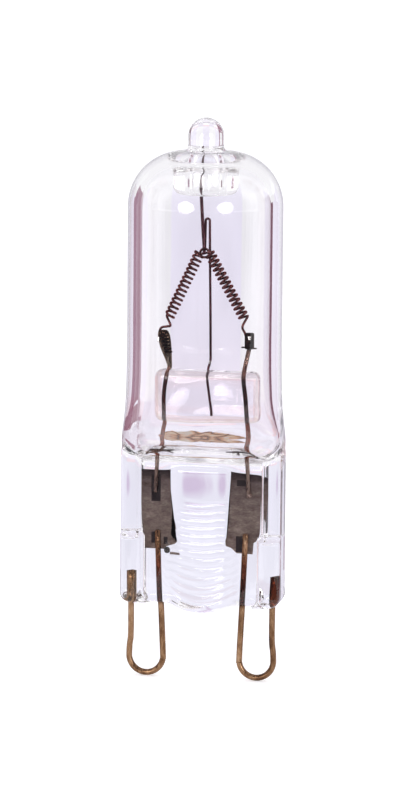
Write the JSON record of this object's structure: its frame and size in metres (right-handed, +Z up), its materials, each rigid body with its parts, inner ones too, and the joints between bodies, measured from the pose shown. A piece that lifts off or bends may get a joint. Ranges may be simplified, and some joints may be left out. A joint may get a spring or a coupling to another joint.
{
  "type": "halogen capsule bulb",
  "caption": "Clear glass capsule lamp with a domed tube, sealed tip, flat ribbed press seal, coiled filament on wire supports and a pair of bent wire contact loops.",
  "frame": {"origin": "on the bulb's axis, level with the bottom of the two contact loops", "axes": "+Z up the bulb's axis towards the exhaust tip, X across the flat press seal through both loops, Y through the seal's thickness, front at -Y"},
  "size_m": [0.013, 0.0124, 0.045],
  "materials": {
    "quartz_glass": "clear fused glass, very smooth",
    "tungsten_coil": "dark drawn wire",
    "support_wire": "dark drawn wire",
    "clamp_metal": "dull crimped metal",
    "lead_metal": "dull drawn wire",
    "foil_metal": "dark dull foil",
    "pin_metal": "bronze-brown drawn wire, semi-gloss"
  },
  "bodies": {
    "root": {"envelope": "quartz_glass", "bridge_bar": "quartz_glass", "filament": "tungsten_coil", "top_support_wire": "support_wire", "centre_support_wire": "support_wire", "filament_clamp_left": "clamp_metal", "filament_clamp_right": "clamp_metal", "lead_wire_left": "lead_metal", "lead_wire_right": "lead_metal", "foil_left": "foil_metal", "foil_right": "foil_metal", "pin_loop_left": "pin_metal", "pin_loop_right": "pin_metal"}
  },
  "joints": []
}
